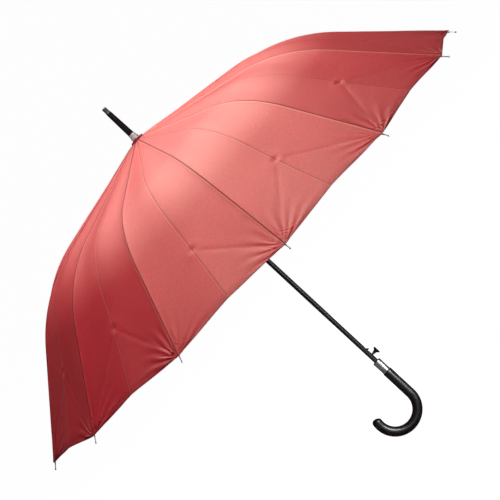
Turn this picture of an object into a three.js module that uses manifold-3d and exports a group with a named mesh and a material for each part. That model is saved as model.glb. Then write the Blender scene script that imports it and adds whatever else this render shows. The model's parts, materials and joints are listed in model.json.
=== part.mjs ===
// Stick umbrella with a crook handle: twelve folding ribs, a push-button catch and a sprung runner.
// Millimetres, +Z up. The origin is the centre of the ferrule's flat end and the shaft runs down -Z.
// It is drawn open. Every rib lies in a plane through the axis, drawn here as (radius, height).
import * as THREE from 'three';
import { mergeVertices } from 'three/addons/utils/BufferGeometryUtils.js';
import Module from 'manifold-3d';

const wasm = await Module();
wasm.setup();

// Driving dimensions
const RIBS = 12;
const SECTOR = (2 * Math.PI) / RIBS;
const GAP = 0.3;                // running clearance between neighbours

const CANOPY_TOP = -88;         // height at which the fabric meets the axis
const CANOPY_RADIUS = 575;      // axis to a corner of the fabric
const FLAT_RADIUS = 255;        // the crown of the canopy is straight out to here
const BEND_RADIUS = 320;        // of the bend between the crown and the skirt
const CROWN_SLOPE = THREE.MathUtils.degToRad(12);
const SKIRT_SLOPE = THREE.MathUtils.degToRad(46.5);
const FABRIC = 1.0;             // fabric thickness of the solid shell
const RIM_RISE = 9;             // of the hem between two corners

const SHAFT_R = 5.1;
const SHAFT_BORE = 4.3;
const SHAFT_BOTTOM = -800;
const SLIDE_BORE = SHAFT_R + GAP;

const PIVOT_R = 11;             // radius of the pivots in the crown and the runner
const HUB_PIVOT_R = 9.2;        // radius of the strut pivots in the spring hub
const CROWN_PIVOT_Z = -97;
const RIB_DEPTH = 3.8;          // rib centre line below the fabric's outer face
const ROD_HALF = 1.5;           // half height of a rib's channel
const ROD_WIDTH = 3.0;
const CHANNEL = 1.8;            // width inside a channel
const TONGUE = 1.2;             // thickness of a flattened rod end
const EYE_R = 2.0;
const HOLE_R = 1.05;
const PIN_R = 0.68;
const LUG_R = 2.2;              // cheek around a pin
const ROD_START = 6;            // from an eye to the start of the channel

const FLEX_SLOPE = THREE.MathUtils.degToRad(29);  // slope of the canopy above the rib's own joint
const JOINT_RADIUS = 248;       // radius of the stretcher's joint under the rib
const JOINT_DROP = 5.5;         // joint below the rib's centre line
const STRETCHER = 322;          // between its two pivots
const STRUT_AT = 130;           // strut pin above the stretcher's lower end
const STRUT_LIFT = 1.6;         // strut pin above the stretcher's centre line
const TIP_LENGTH = 13;          // bare tip beyond the fabric's corner

const TRAVEL = 288.7;           // of the runner, open to closed
const CATCH_Z = -700.5;
const BUTTON_Z = -716;
const COLLAR_TOP = -731;
const HANDLE_TOP = -759;
const CROOK_Z = -822.6;
const CROOK_R = 44;
const HANDLE_R = 10.1;
const CROOK_SWEEP = THREE.MathUtils.degToRad(201);

// Materials
const paint = (color, roughness, metalness) => ({ color, roughness, metalness });
const FABRIC_RED = paint(0xc8323c, 0.5, 0);
const ROSETTE_RED = paint(0x6e0f1e, 0.6, 0);
const GLOSS_BLACK = paint(0x0a0a0c, 0.15, 0);
const BLACK_PAINT = paint(0x101013, 0.2, 0.4);
const CHROME = paint(0xd8dade, 0.15, 1);
const STEEL = paint(0xb4b6ba, 0.3, 1);
const BLACK_STEEL = paint(0x1a1b1e, 0.35, 0.8);

const umbrella = new THREE.Group();

function addPart(name, geometry, finish, angle = 0) {
  const mesh = new THREE.Mesh(geometry, new THREE.MeshStandardMaterial(finish));
  mesh.name = name;
  mesh.rotation.z = angle;
  umbrella.add(mesh);
}

// Solids
function bare(geometry) {
  const copy = geometry.clone();
  copy.deleteAttribute('normal');
  copy.deleteAttribute('uv');
  return mergeVertices(copy, 1e-4);
}

function volume(geometry) {
  const p = geometry.attributes.position;
  const index = geometry.index.array;
  const [a, b, c] = [new THREE.Vector3(), new THREE.Vector3(), new THREE.Vector3()];
  let sum = 0;
  for (let i = 0; i < index.length; i += 3) {
    a.fromBufferAttribute(p, index[i]);
    b.fromBufferAttribute(p, index[i + 1]);
    c.fromBufferAttribute(p, index[i + 2]);
    sum += a.dot(b.cross(c)) / 6;
  }
  return sum;
}

// A closed geometry with its faces turned outwards
function outward(geometry) {
  const g = bare(geometry);
  if (volume(g) < 0) {
    const index = g.index.array;
    for (let i = 0; i < index.length; i += 3) {
      [index[i], index[i + 1]] = [index[i + 1], index[i]];
    }
  }
  g.computeVertexNormals();
  return g;
}

function toSolid(geometry) {
  const g = outward(geometry);
  const vertProperties = new Float32Array(g.attributes.position.array);
  const triVerts = new Uint32Array(g.index.array);
  return new wasm.Manifold(new wasm.Mesh({ numProp: 3, vertProperties, triVerts }));
}

function fromSolid(solid) {
  const mesh = solid.getMesh();
  const g = new THREE.BufferGeometry();
  g.setAttribute('position', new THREE.Float32BufferAttribute(mesh.vertProperties, 3));
  g.setIndex(Array.from(mesh.triVerts));
  g.computeVertexNormals();
  return g;
}

function combine(bodies, cuts = []) {
  let solid = toSolid(bodies[0]);
  for (const body of bodies.slice(1)) solid = solid.add(toSolid(body));
  for (const cut of cuts) solid = solid.subtract(toSolid(cut));
  return fromSolid(solid);
}

// A closed outline of [radius, height] points turned about the axis
function turned(points, segments = 20) {
  const outline = [...points, points[0]].map(([r, z]) => new THREE.Vector2(r, z));
  return outward(new THREE.LatheGeometry(outline, segments).rotateX(Math.PI / 2));
}

function ring(inner, outer, bottom, top, segments = 20) {
  return turned([[inner, bottom], [outer, bottom], [outer, top], [inner, top]], segments);
}

// An outline in the plane of a rib, as thick as given across that plane
function plate(points, thickness, across = 0) {
  const shape = new THREE.Shape(points.map(([r, z]) => new THREE.Vector2(r, z)));
  const g = new THREE.ExtrudeGeometry(shape, { depth: thickness, bevelEnabled: false });
  return g.translate(0, 0, across - thickness / 2).rotateX(Math.PI / 2);
}

// A round pin, eye or hole across the plane of a rib
function round([r, z], radius, thickness, sides = 8) {
  const g = new THREE.CylinderGeometry(radius, radius, thickness, sides);
  return g.translate(r, 0, z);
}

function box(x0, x1, y0, y1, z0, z1) {
  const g = new THREE.BoxGeometry(x1 - x0, y1 - y0, z1 - z0);
  return g.translate((x0 + x1) / 2, (y0 + y1) / 2, (z0 + z1) / 2);
}

// Lines in the plane of a rib
const along = ([r, z], angle, distance) => [
  r + distance * Math.cos(angle),
  z + distance * Math.sin(angle),
];
const bearing = ([r0, z0], [r1, z1]) => Math.atan2(z1 - z0, r1 - r0);

// The closed outline that follows a line from one offset to another on its upper side
function strip(line, low, high) {
  const offset = (distance) => line.map((point, i) => {
    const before = line[Math.max(i - 1, 0)];
    const after = line[Math.min(i + 1, line.length - 1)];
    return along(point, bearing(before, after) + Math.PI / 2, distance);
  });
  return [...offset(low), ...offset(high).reverse()];
}

// The canopy's profile
const bendEndR = FLAT_RADIUS + BEND_RADIUS * (Math.sin(SKIRT_SLOPE) - Math.sin(CROWN_SLOPE));
const flatEndZ = CANOPY_TOP - FLAT_RADIUS * Math.tan(CROWN_SLOPE);
const bendEndZ = flatEndZ - BEND_RADIUS * (Math.cos(CROWN_SLOPE) - Math.cos(SKIRT_SLOPE));

function fabricAt(radius) {
  if (radius <= FLAT_RADIUS) {
    return { z: CANOPY_TOP - radius * Math.tan(CROWN_SLOPE), slope: CROWN_SLOPE };
  }
  if (radius <= bendEndR) {
    const slope = Math.asin(Math.sin(CROWN_SLOPE) + (radius - FLAT_RADIUS) / BEND_RADIUS);
    const drop = BEND_RADIUS * (Math.cos(CROWN_SLOPE) - Math.cos(slope));
    return { z: flatEndZ - drop, slope };
  }
  return { z: bendEndZ - (radius - bendEndR) * Math.tan(SKIRT_SLOPE), slope: SKIRT_SLOPE };
}

const bendRadiusAt = (slope) =>
  FLAT_RADIUS + BEND_RADIUS * (Math.sin(slope) - Math.sin(CROWN_SLOPE));

// The point under the fabric at a radius, square to its surface
function under(radius, depth) {
  const { z, slope } = fabricAt(radius);
  return along([radius, z], -Math.PI / 2 - slope, depth);
}

const CROWN_PIVOT = [PIVOT_R, CROWN_PIVOT_Z];
const FLEX = under(bendRadiusAt(FLEX_SLOPE), RIB_DEPTH);
const JOINT = under(JOINT_RADIUS, RIB_DEPTH + JOINT_DROP);
const RUNNER_Z = JOINT[1] - Math.sqrt(STRETCHER ** 2 - (JOINT[0] - PIVOT_R) ** 2);
const FOOT = [PIVOT_R, RUNNER_Z];
const STRETCH = bearing(FOOT, JOINT);
const STRUT_PIN = along(along(FOOT, STRETCH, STRUT_AT), STRETCH + Math.PI / 2, STRUT_LIFT);
const HUB_Z = STRUT_PIN[1];

// A straight rod, round or tapering, between two points in the plane of a rib
function rod(from, to, r0, r1, sides = 8) {
  const length = Math.hypot(to[0] - from[0], to[1] - from[1]);
  const g = new THREE.CylinderGeometry(r1, r0, length, sides);
  g.translate(0, length / 2, 0).rotateX(Math.PI / 2);
  g.rotateY(Math.PI / 2 - bearing(from, to));
  return g.translate(from[0], 0, from[1]);
}

// A flattened rod end from an eye or foot to just inside the channel
function tongue(end, angle, low, high) {
  const inside = along(end, angle, ROD_START + 2);
  return plate(strip([end, inside], low, high), TONGUE);
}

function ribInner() {
  const knee = under(70, RIB_DEPTH);
  const lean = bearing(CROWN_PIVOT, knee);
  const bend = [];
  const steps = 4;
  for (let i = 0; i <= steps; i++) {
    const slope = CROWN_SLOPE + ((FLEX_SLOPE - CROWN_SLOPE) * i) / steps;
    bend.push(under(bendRadiusAt(slope), RIB_DEPTH));
  }
  const start = along(CROWN_PIVOT, lean, ROD_START);
  const channel = plate(strip([start, knee, ...bend], -ROD_HALF, ROD_HALF), ROD_WIDTH);
  const hollowStart = along(start, lean, 4);
  const hollow = strip([hollowStart, knee, ...bend], -ROD_HALF - 1, ROD_HALF - 0.6);

  // Two cheeks hang down to the stretcher's joint
  const cheekTop = [-9, 9].map((d) => along(under(JOINT_RADIUS, RIB_DEPTH), -CROWN_SLOPE, d));
  const cheekFoot = [LUG_R, -LUG_R].map((d) => along(JOINT, -CROWN_SLOPE, d));
  const cheeks = plate([...cheekTop, ...cheekFoot], ROD_WIDTH);
  const cheekGap = strip(
    [-14, 14].map((d) => along(JOINT, -CROWN_SLOPE, d)),
    -LUG_R - 1,
    JOINT_DROP,
  );

  // The far end is a fork for the outer rib
  const forkGap = strip(
    [-5, 5].map((d) => along(FLEX, -FLEX_SLOPE, d)),
    -LUG_R - 1,
    LUG_R + 1,
  );
  const body = combine(
    [channel, cheeks, round(JOINT, LUG_R, ROD_WIDTH), round(FLEX, LUG_R, ROD_WIDTH)],
    [hollow, cheekGap, forkGap].map((outline) => plate(outline, CHANNEL)),
  );
  return combine(
    [
      body,
      tongue(CROWN_PIVOT, lean, -1.3, 1.3),
      round(CROWN_PIVOT, EYE_R, TONGUE),
      round(JOINT, PIN_R, ROD_WIDTH, 6),
      round(FLEX, PIN_R, ROD_WIDTH, 6),
    ],
    [round(CROWN_PIVOT, HOLE_R, ROD_WIDTH)],
  );
}

function ribOuter() {
  const line = [];
  const steps = 4;
  for (let i = 1; i <= steps; i++) {
    const slope = FLEX_SLOPE + ((SKIRT_SLOPE - FLEX_SLOPE) * i) / steps;
    line.push(under(bendRadiusAt(slope), RIB_DEPTH));
  }
  const start = along(FLEX, -FLEX_SLOPE, ROD_START);
  const channelEnd = under(CANOPY_RADIUS - 14, RIB_DEPTH);
  const hollowEnd = under(CANOPY_RADIUS - 26, RIB_DEPTH);
  const hollowStart = along(start, -FLEX_SLOPE, 4);
  const channel = plate(strip([start, ...line, channelEnd], -ROD_HALF, ROD_HALF), ROD_WIDTH);
  const hollow = strip([hollowStart, ...line, hollowEnd], -ROD_HALF - 1, ROD_HALF - 0.6);
  const tip = along(under(CANOPY_RADIUS, 2.4), -SKIRT_SLOPE, TIP_LENGTH);
  const body = combine([channel], [plate(hollow, CHANNEL)]);
  const ball = new THREE.SphereGeometry(1.5, 6, 4).translate(tip[0], 0, tip[1]);
  return combine(
    [
      body,
      tongue(FLEX, -FLEX_SLOPE, -1.3, 1.3),
      round(FLEX, EYE_R, TONGUE),
      rod(under(CANOPY_RADIUS - 20, RIB_DEPTH), tip, 1.0, 0.8, 6),
      ball,
    ],
    [round(FLEX, HOLE_R, ROD_WIDTH)],
  );
}

function stretcher(withStrut) {
  const ends = [ROD_START, STRETCHER - ROD_START].map((d) => along(FOOT, STRETCH, d));
  const inner = [ROD_START + 4, STRETCHER - ROD_START - 4].map((d) => along(FOOT, STRETCH, d));
  const channel = [plate(strip(ends, -ROD_HALF, ROD_HALF), ROD_WIDTH)];
  if (withStrut) channel.push(round(STRUT_PIN, LUG_R, ROD_WIDTH));
  const hollow = plate(strip(inner, -ROD_HALF + 0.6, ROD_HALF + 3), CHANNEL);
  const back = STRETCH + Math.PI;
  const parts = [
    combine(channel, [hollow]),
    tongue(FOOT, STRETCH, -1.3, 1.3),
    round(FOOT, 1.6, TONGUE),
    tongue(JOINT, back, -1.3, 1.3),
    round(JOINT, EYE_R - 0.1, TONGUE),
  ];
  if (withStrut) parts.push(round(STRUT_PIN, PIN_R, ROD_WIDTH, 6));
  return combine(parts, [round(JOINT, HOLE_R, ROD_WIDTH)]);
}

function strut() {
  const hub = [HUB_PIVOT_R, HUB_Z];
  const bar = plate(strip([hub, STRUT_PIN], -1.3, 1.3), TONGUE);
  return combine(
    [bar, round(hub, 1.6, TONGUE), round(STRUT_PIN, 1.9, TONGUE)],
    [round(STRUT_PIN, HOLE_R, ROD_WIDTH)],
  );
}

// Slots through a ring, one in the plane of each rod
function slots(count, floor, reach, bottom, top) {
  const half = CHANNEL / 2;
  return Array.from({ length: count }, (_, i) =>
    box(floor, reach, -half, half, bottom, top).rotateZ((i * 2 * Math.PI) / count));
}

function crown() {
  const z = CROWN_PIVOT_Z;
  const groove = 0.95;
  const body = turned([
    [SLIDE_BORE, z - 7], [9, z - 7], [9, z - 4], [13.5, z - 4], [13.5, z - groove],
    [10, z - groove], [10, z + groove], [13.5, z + groove], [13.5, z + 4], [SLIDE_BORE, z + 4],
  ]);
  return combine([body], slots(RIBS, 8.2, 20, z - 10, z + 8));
}

// A sleeve on the shaft with a slotted flange, which reaches past the sleeve by the slots' depth
function slider(pivotZ, above, below, sleeveR, slotDepth, count) {
  const flange = 4.5;
  const flangeR = sleeveR + slotDepth;
  const body = turned([
    [SLIDE_BORE, pivotZ - below], [sleeveR, pivotZ - below], [sleeveR, pivotZ - flange],
    [flangeR, pivotZ - flange], [flangeR, pivotZ + flange], [sleeveR, pivotZ + flange],
    [sleeveR, pivotZ + above], [SLIDE_BORE, pivotZ + above],
  ]);
  const floor = sleeveR + 0.2;
  return combine([body], slots(count, floor, 20, pivotZ - flange - 1, pivotZ + flange + 1));
}

function runner() {
  const below = RUNNER_Z - TRAVEL - (CATCH_Z - 7.5);
  const window = CATCH_Z + TRAVEL;
  return combine(
    [slider(RUNNER_Z, 8, below, 8, 5.3, RIBS)],
    [box(4, 10, -2.6, 2.6, window - 5, window + 5)],
  );
}

function openingSpring() {
  const bottom = RUNNER_Z + 9.2;
  const top = HUB_Z - 9.2;
  const turns = 7;
  class Helix extends THREE.Curve {
    getPoint(t, target = new THREE.Vector3()) {
      const angle = t * turns * 2 * Math.PI;
      return target.set(6.9 * Math.cos(angle), 6.9 * Math.sin(angle), bottom + (top - bottom) * t);
    }
  }
  const wire = new THREE.Shape().absarc(0, 0, 0.7, 0, 2 * Math.PI);
  return outward(new THREE.ExtrudeGeometry(wire, {
    steps: turns * 9, curveSegments: 2, bevelEnabled: false, extrudePath: new Helix(),
  }));
}

function shaft() {
  const spigot = -50;
  const shoulder = -76;
  const tube = turned([
    [0, spigot], [3.4, spigot], [3.4, shoulder], [SHAFT_R, shoulder], [SHAFT_R, SHAFT_BOTTOM],
    [SHAFT_BORE, SHAFT_BOTTOM], [SHAFT_BORE, shoulder - 6], [0, shoulder - 6],
  ]);
  const catchSlot = box(2, 8, -2.2, 2.2, CATCH_Z - 6, CATCH_Z + 6);
  const buttonHole = new THREE.CylinderGeometry(2.7, 2.7, 8, 12).rotateZ(Math.PI / 2);
  return combine([tube], [catchSlot, buttonHole.translate(6, 0, BUTTON_Z)]);
}

function ferrule() {
  return turned([
    [0, -14.3], [5.4, -14.3], [6.5, -73.7], [3.8, -73.7], [3.8, -49], [0, -49],
  ]);
}

function ferruleTip() {
  return turned([[0, -14], [5.2, -14], [5.2, -12], [4.7, -11], [4.7, -1.2], [3.8, 0], [0, 0]]);
}

function ferruleCup() {
  return turned([
    [SLIDE_BORE, -86.4], [8.6, -86.4], [8.8, -85.4], [7.8, -81], [6.8, -74], [SLIDE_BORE, -74],
  ]);
}

function rosette() {
  const slope = Math.tan(CROWN_SLOPE);
  const lift = 0.35;
  const under0 = CANOPY_TOP - 5.5 * slope + lift;
  const under1 = CANOPY_TOP - 15 * slope + lift;
  return turned([[5.5, under0], [15, under1], [15, under1 + 1.1], [9.9, -87.6], [5.5, -86.8]]);
}

// A point on the fabric's outer face, on the rib's meridian or the middle seam's
function fabricPoint(radius, middle, depth) {
  const { z, slope } = fabricAt(radius);
  const inset = middle ? Math.cos(SECTOR / 2) : 1;
  const rise = middle ? RIM_RISE * (radius / CANOPY_RADIUS) ** 12 : 0;
  return [radius * inset - depth * Math.sin(slope), z + rise - depth * Math.cos(slope)];
}

function canopy() {
  const radii = [5.6, 70, 165, FLAT_RADIUS];
  for (let i = 1; i <= 6; i++) {
    radii.push(bendRadiusAt(CROWN_SLOPE + ((SKIRT_SLOPE - CROWN_SLOPE) * i) / 6));
  }
  radii.push((bendEndR + CANOPY_RADIUS) / 2, CANOPY_RADIUS);
  const columns = RIBS * 2;
  const rows = radii.length;
  const points = [];
  for (const depth of [0, FABRIC]) {
    for (const radius of radii) {
      for (let c = 0; c < columns; c++) {
        const [r, z] = fabricPoint(radius, c % 2 === 1, depth);
        const angle = (c * SECTOR) / 2;
        points.push(r * Math.cos(angle), r * Math.sin(angle), z);
      }
    }
  }
  const at = (side, row, c) => (side * rows + row) * columns + (c % columns);
  const index = [];
  const quad = (a, b, c, d) => index.push(a, b, c, a, c, d);
  for (let c = 0; c < columns; c++) {
    for (let row = 0; row < rows - 1; row++) {
      quad(at(0, row, c), at(0, row + 1, c), at(0, row + 1, c + 1), at(0, row, c + 1));
      quad(at(1, row, c), at(1, row, c + 1), at(1, row + 1, c + 1), at(1, row + 1, c));
    }
    const rim = rows - 1;
    quad(at(0, rim, c), at(1, rim, c), at(1, rim, c + 1), at(0, rim, c + 1));
    quad(at(0, 0, c), at(0, 0, c + 1), at(1, 0, c + 1), at(1, 0, c));
  }
  const g = new THREE.BufferGeometry();
  g.setAttribute('position', new THREE.Float32BufferAttribute(points, 3));
  g.setIndex(index);
  return outward(g);
}

function crookHandle() {
  const straight = HANDLE_TOP - CROOK_Z;
  const bendLength = CROOK_R * CROOK_SWEEP;
  class Crook extends THREE.Curve {
    getPoint(t, target = new THREE.Vector3()) {
      const s = t * (straight + bendLength);
      if (s < straight) return target.set(0, 0, HANDLE_TOP - GAP - s * (1 - GAP / straight));
      const angle = (s - straight) / CROOK_R;
      const x = -CROOK_R + CROOK_R * Math.cos(angle);
      return target.set(x, 0, CROOK_Z - CROOK_R * Math.sin(angle));
    }
  }
  const section = new THREE.Shape().absarc(0, 0, HANDLE_R, 0, 2 * Math.PI);
  const grip = new THREE.ExtrudeGeometry(section, {
    steps: 24, curveSegments: 8, bevelEnabled: false, extrudePath: new Crook(),
  });
  const depth = HANDLE_TOP + 5 - (SHAFT_BOTTOM - 5);
  const socket = new THREE.CylinderGeometry(SLIDE_BORE + 0.1, SLIDE_BORE + 0.1, depth, 24);
  socket.rotateX(Math.PI / 2).translate(0, 0, HANDLE_TOP + 5 - depth / 2);
  return combine([grip], [socket]);
}

function releaseButton() {
  const profile = turned([
    [0, 3.5], [2.3, 3.5], [2.3, 7.8], [3.2, 8.4], [3.4, 12.2], [5.4, 14.4], [7.9, 16.4],
    [8.0, 17.6], [5.5, 18.6], [0, 19.0],
  ], 20);
  return profile.rotateY(Math.PI / 2).translate(0, 0, BUTTON_Z);
}

function catchSpring() {
  const tooth = [
    [2.4, -739], [3.1, -739], [3.1, CATCH_Z - 3.5], [8.5, CATCH_Z - 3.5],
    [8.5, CATCH_Z - 2.2], [3.1, CATCH_Z + 4], [3.1, CATCH_Z + 8], [2.4, CATCH_Z + 8],
  ];
  return outward(plate(tooth, 3.6));
}

function closureStrap() {
  const radius = CANOPY_RADIUS - 75;
  const { z, slope } = fabricAt(radius);
  const inset = Math.cos(SECTOR / 2);
  const tilt = Math.atan(Math.tan(slope) / inset);
  const g = new THREE.BoxGeometry(84, 20, 1.2);
  g.translate(0, -70, 4.2).rotateY(tilt).translate(radius * inset, 0, z);
  return outward(g);
}

addPart('shaft', shaft(), GLOSS_BLACK);
addPart('ferrule', ferrule(), BLACK_PAINT);
addPart('ferrule_tip', ferruleTip(), STEEL);
addPart('ferrule_cup', ferruleCup(), CHROME);
addPart('rosette', rosette(), ROSETTE_RED);
addPart('canopy', canopy(), FABRIC_RED);
addPart('crown', crown(), BLACK_STEEL);
const wireRing = new THREE.TorusGeometry(PIVOT_R, 0.6, 5, 36).translate(0, 0, CROWN_PIVOT_Z);
addPart('crown_wire', outward(wireRing), STEEL);
addPart('upper_stop', ring(SLIDE_BORE, 7.6, HUB_Z + 10, HUB_Z + 14), STEEL);
addPart('spring_hub', slider(HUB_Z, 8, 8, 7.1, 4.1, RIBS / 2), BLACK_STEEL);
addPart('opening_spring', openingSpring(), STEEL);
addPart('runner', runner(), GLOSS_BLACK);
addPart('handle_collar', ring(SLIDE_BORE, 9.15, HANDLE_TOP, COLLAR_TOP), CHROME);
addPart('crook_handle', crookHandle(), GLOSS_BLACK);
addPart('release_button', releaseButton(), GLOSS_BLACK);
addPart('catch_spring', catchSpring(), STEEL);
addPart('closure_strap', closureStrap(), FABRIC_RED, 3.5 * SECTOR);

const inner = ribInner();
const outer = ribOuter();
const plain = stretcher(false);
const driven = stretcher(true);
const brace = strut();
for (let i = 0; i < RIBS; i++) {
  const label = String(i + 1).padStart(2, '0');
  const angle = i * SECTOR;
  addPart(`rib_inner_${label}`, inner, BLACK_STEEL, angle);
  addPart(`rib_outer_${label}`, outer, STEEL, angle);
  addPart(`stretcher_${label}`, i % 2 ? plain : driven, BLACK_STEEL, angle);
  if (i % 2 === 0) addPart(`strut_${label}`, brace, STEEL, angle);
}

export default umbrella;
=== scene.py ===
"""A red stick umbrella, drawn open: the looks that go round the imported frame."""

import json
import math

import bmesh
import bpy
import numpy as np
from mathutils import Matrix, Vector

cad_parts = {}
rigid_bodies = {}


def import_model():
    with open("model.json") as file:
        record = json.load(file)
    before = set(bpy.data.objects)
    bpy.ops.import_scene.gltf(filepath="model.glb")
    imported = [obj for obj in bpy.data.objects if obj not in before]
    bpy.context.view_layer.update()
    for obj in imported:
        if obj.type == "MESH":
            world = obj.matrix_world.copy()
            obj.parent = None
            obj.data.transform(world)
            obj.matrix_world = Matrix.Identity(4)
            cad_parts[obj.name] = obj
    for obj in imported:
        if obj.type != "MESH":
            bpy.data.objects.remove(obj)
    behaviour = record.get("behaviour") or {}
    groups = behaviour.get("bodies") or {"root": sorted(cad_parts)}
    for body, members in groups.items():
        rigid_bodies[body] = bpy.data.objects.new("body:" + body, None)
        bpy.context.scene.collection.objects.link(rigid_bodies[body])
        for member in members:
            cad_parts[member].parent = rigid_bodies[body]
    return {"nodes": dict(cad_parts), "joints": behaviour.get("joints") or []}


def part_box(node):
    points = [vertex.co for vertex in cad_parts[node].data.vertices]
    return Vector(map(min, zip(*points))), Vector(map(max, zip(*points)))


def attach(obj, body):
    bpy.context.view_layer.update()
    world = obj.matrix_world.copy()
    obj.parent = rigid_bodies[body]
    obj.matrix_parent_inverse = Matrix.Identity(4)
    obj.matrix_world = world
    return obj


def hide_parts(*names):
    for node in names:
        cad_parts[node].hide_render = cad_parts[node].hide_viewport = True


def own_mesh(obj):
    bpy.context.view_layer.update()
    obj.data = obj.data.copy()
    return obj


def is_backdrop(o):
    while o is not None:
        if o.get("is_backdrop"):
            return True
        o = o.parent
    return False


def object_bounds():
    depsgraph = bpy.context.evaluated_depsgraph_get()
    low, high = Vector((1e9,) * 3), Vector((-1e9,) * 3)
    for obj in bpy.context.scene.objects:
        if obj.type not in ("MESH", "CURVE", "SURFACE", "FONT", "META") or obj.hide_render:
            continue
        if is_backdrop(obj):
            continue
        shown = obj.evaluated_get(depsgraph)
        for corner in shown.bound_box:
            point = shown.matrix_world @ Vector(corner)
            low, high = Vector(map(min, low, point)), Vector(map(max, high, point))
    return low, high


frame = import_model()
CAD_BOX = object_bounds()
MM = 0.001

# ---------------------------------------------------------------- sizes
NODES = frame["nodes"]
JOINTS = {j["name"]: j for j in frame["joints"]}
RIBS = sum(1 for name in NODES if name.startswith("rib_inner_"))
SECTOR = 2 * math.pi / RIBS
HALF = SECTOR / 2


def vertex_radii(node):
    """How far a CAD node's vertices are from the shaft's axis, in metres."""
    points = np.array([v.co for v in NODES[node].data.vertices])
    return np.hypot(points[:, 0], points[:, 1])


# The canopy's profile, with the CAD's dimensions: a straight crown, one bend and a straight skirt
CANOPY_TOP = -0.088
CANOPY_R = vertex_radii("canopy").max()
CROWN_SLOPE = math.radians(12)
SKIRT_SLOPE = math.radians(46.5)
FLAT_R = 0.255
BEND_R = 0.320
HOLE_R = vertex_radii("canopy").min()
RIM_RISE = 0.009
FLEX_RADIUS = JOINTS["rib_flex_01"]["pos_m"][0]      # the rib's own joint
FLEX_Z = JOINTS["rib_flex_01"]["pos_m"][2]
FLEX_SLOPE = math.radians(29)

BEND_END_R = FLAT_R + BEND_R * (math.sin(SKIRT_SLOPE) - math.sin(CROWN_SLOPE))
FLAT_END_Z = CANOPY_TOP - FLAT_R * math.tan(CROWN_SLOPE)
BEND_END_Z = FLAT_END_Z - BEND_R * (math.cos(CROWN_SLOPE) - math.cos(SKIRT_SLOPE))


def profile(radius):
    """Height and slope of the fabric over a rib, at an array of radii."""
    radius = np.asarray(radius, float)
    bend = np.clip((radius - FLAT_R) / BEND_R + math.sin(CROWN_SLOPE), 0, math.sin(SKIRT_SLOPE))
    slope = np.where(radius <= FLAT_R, CROWN_SLOPE, np.arcsin(bend))
    flat = CANOPY_TOP - radius * math.tan(CROWN_SLOPE)
    bent = FLAT_END_Z - BEND_R * (math.cos(CROWN_SLOPE) - np.cos(slope))
    skirt = BEND_END_Z - (radius - BEND_END_R) * math.tan(SKIRT_SLOPE)
    height = np.where(radius <= FLAT_R, flat, np.where(radius <= BEND_END_R, bent, skirt))
    return height, np.where(radius > BEND_END_R, SKIRT_SLOPE, slope)


# ---------------------------------------------------------------- materials
class Shader:
    """A node tree with short calls for the nodes that the finishes use."""

    def __init__(self, name):
        self.material = bpy.data.materials.new(name)
        self.material.use_nodes = True
        self.tree = self.material.node_tree
        self.tree.nodes.clear()
        self.output = self.tree.nodes.new("ShaderNodeOutputMaterial")
        self.surface = self.tree.nodes.new("ShaderNodeBsdfPrincipled")
        self.tree.links.new(self.surface.outputs[0], self.output.inputs[0])

    def put(self, socket, value):
        if isinstance(value, bpy.types.NodeSocket):
            self.tree.links.new(value, socket)
        elif isinstance(value, tuple) and len(value) == 3 and socket.type == "RGBA":
            socket.default_value = (*value, 1)
        else:
            socket.default_value = value

    def set(self, **values):
        for name, value in values.items():
            self.put(self.surface.inputs[name.replace("_", " ")], value)

    def node(self, kind, output=0, inputs=None, **settings):
        node = self.tree.nodes.new("ShaderNode" + kind)
        for name, value in settings.items():
            setattr(node, name, value)
        for name, value in (inputs or {}).items():
            self.put(node.inputs[name], value)
        return node.outputs[output]

    def math(self, operation, a, b=0.0):
        return self.node("Math", inputs={0: a, 1: b}, operation=operation)

    def point(self):
        return self.node("TexCoord", output="Object")

    def attribute(self, name):
        return self.node("Attribute", output="Fac", attribute_name=name)

    def noise(self, vector, scale, detail=3.0, roughness=0.5):
        inputs = {"Vector": vector, "Scale": scale, "Detail": detail, "Roughness": roughness}
        return self.node("TexNoise", inputs=inputs)

    def range(self, value, low, high, to_low, to_high):
        inputs = {0: value, 1: low, 2: high, 3: to_low, 4: to_high}
        return self.node("MapRange", inputs=inputs)

    def mix(self, factor, a, b):
        inputs = {0: factor, 6: a, 7: b}
        return self.node("Mix", output=2, inputs=inputs, data_type="RGBA")

    def bump(self, height, strength, distance, normal=None):
        inputs = {"Strength": strength, "Distance": distance, "Height": height}
        if normal is not None:
            inputs["Normal"] = normal
        return self.node("Bump", inputs=inputs)


def woven(s, across, along, threads):
    """Height of a plain weave of so many threads per metre, given the place on the cloth in metres."""
    warp = s.math("SINE", s.math("MULTIPLY", across, threads * math.pi))
    weft = s.math("SINE", s.math("MULTIPLY", along, threads * math.pi))
    return s.math("MULTIPLY", warp, weft)


def band(s, distance, at, half_width, soft):
    """1 within half_width of a line at the given distance, fading to 0 over the soft margin beside it."""
    away = s.math("ABSOLUTE", s.math("SUBTRACT", distance, at))
    return s.range(away, half_width, half_width + soft, 1.0, 0.0)


def stitches(s, line, along, pitch):
    """A line broken up into stitches of the given pitch."""
    wave = s.math("SINE", s.math("MULTIPLY", along, 2 * math.pi / pitch))
    return s.math("MULTIPLY", line, s.range(wave, -0.5, 0.1, 0.0, 1.0))


CRIMSON = (0.80, 0.010, 0.034)
CRIMSON_LIGHT = (0.92, 0.014, 0.042)
SLUB_RED = (0.98, 0.034, 0.070)
GRAIN_RED = (0.56, 0.004, 0.024)
PAINTED_HIGHLIGHT_RED = (1.0, 0.24, 0.17)
# dark red of the seam lines, also used for the painted shade along the hem
SEAM_AND_PAINTED_SHADE_RED = (0.20, 0.001, 0.008)
GLOSS_TINT = (1.0, 0.88, 0.68)
SHEEN_TINT = (1.0, 0.78, 0.62)
CLOTH_IOR = 1.92                  # a strong reflection at every angle, as on satin-faced cloth
THREADS = 2600.0                  # per metre


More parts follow.
